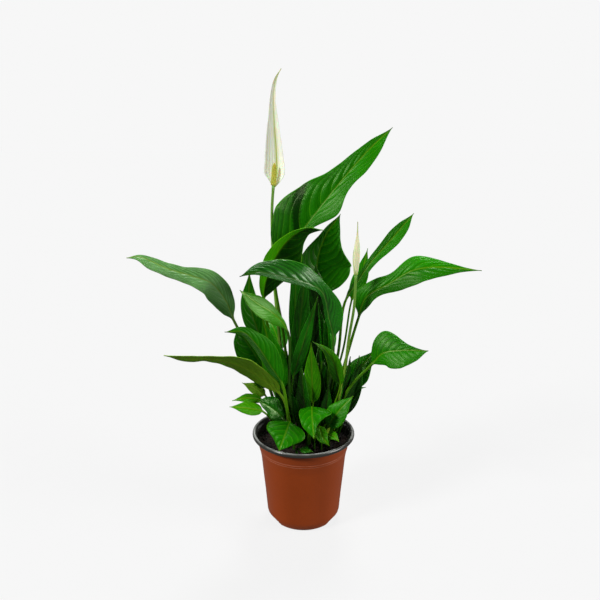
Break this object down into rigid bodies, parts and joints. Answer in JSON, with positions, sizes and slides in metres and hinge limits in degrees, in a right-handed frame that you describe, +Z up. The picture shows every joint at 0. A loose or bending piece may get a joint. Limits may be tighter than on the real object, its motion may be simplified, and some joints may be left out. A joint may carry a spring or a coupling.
{
  "type": "potted plant",
  "caption": "Bushy peace lily with glossy pointed leaves on thin stalks and white hooded flowers, standing in a round tapered terracotta plastic pot of peat.",
  "frame": {"origin": "middle of the pot's underside, on the surface that the pot stands on", "axes": "+Z up; -Y is the side seen in the picture; +X to its right"},
  "size_m": [0.3653, 0.1829, 0.5154],
  "materials": {
    "pot": "thermoformed terracotta plastic outside with a black rolled rim and inside, soft sheen",
    "peat": "dark moist peat, matt and crumbly",
    "leaf_bright": "living leaf, fresh green, waxy sheen",
    "leaf_mid": "living leaf, mid green, waxy sheen",
    "leaf_dark": "living leaf, deep green, glossy",
    "leaf_olive": "living leaf, pale olive underside, satin",
    "stalk": "flower stalk, yellowish green, satin",
    "spathe": "cream white petal-like sheet, matt and slightly translucent",
    "spadix": "yellow-green flower spike, matt and bumpy"
  },
  "bodies": {
    "root": {"pot": "pot", "soil": "peat", "leaf_top": "leaf_mid", "leaf_fold": "leaf_mid", "leaf_front_arch": "leaf_mid", "leaf_right_high": "leaf_mid", "leaf_right_behind": "leaf_bright", "leaf_right_long": "leaf_mid", "leaf_back_wide": "leaf_dark", "leaf_left_long": "leaf_dark", "leaf_left_low": "leaf_olive", "leaf_left_broad": "leaf_dark", "leaf_left_fold": "leaf_mid", "leaf_left_upright": "leaf_dark", "leaf_left_glossy": "leaf_bright", "leaf_left_mid": "leaf_mid", "leaf_centre_far": "leaf_dark", "leaf_centre_dark": "leaf_dark", "leaf_centre_narrow": "leaf_dark", "leaf_centre_back": "leaf_dark", "leaf_low_left": "leaf_dark", "leaf_low_middle": "leaf_dark", "leaf_low_right": "leaf_dark", "leaf_low_rear": "leaf_dark", "leaf_rear_left": "leaf_mid", "leaf_rear_middle": "leaf_dark", "leaf_rear_right": "leaf_mid", "leaf_rear_low_left": "leaf_mid", "leaf_rear_low_right": "leaf_dark", "leaf_striped_left": "leaf_dark", "leaf_striped_right": "leaf_dark", "leaf_front_upright": "leaf_bright", "leaf_centre_arch": "leaf_bright", "leaf_right_low": "leaf_mid", "leaf_right_hidden": "leaf_dark", "leaf_right_thin": "leaf_dark", "leaf_right_small": "leaf_mid", "leaf_right_curl": "leaf_olive", "leaf_front_heart": "leaf_bright", "leaf_front_left": "leaf_bright", "leaf_front_curl": "leaf_mid", "leaf_front_curl_tip": "leaf_mid", "leaf_left_pale": "leaf_olive", "leaf_left_tip_upper": "leaf_mid", "leaf_left_tip_lower": "leaf_mid", "leaf_left_dark": "leaf_dark", "leaf_peat": "leaf_dark", "stalk_tall": "stalk", "spathe_open": "spathe", "spadix": "spadix", "stalk_short": "stalk", "spathe_furled": "spathe"}
  },
  "joints": []
}
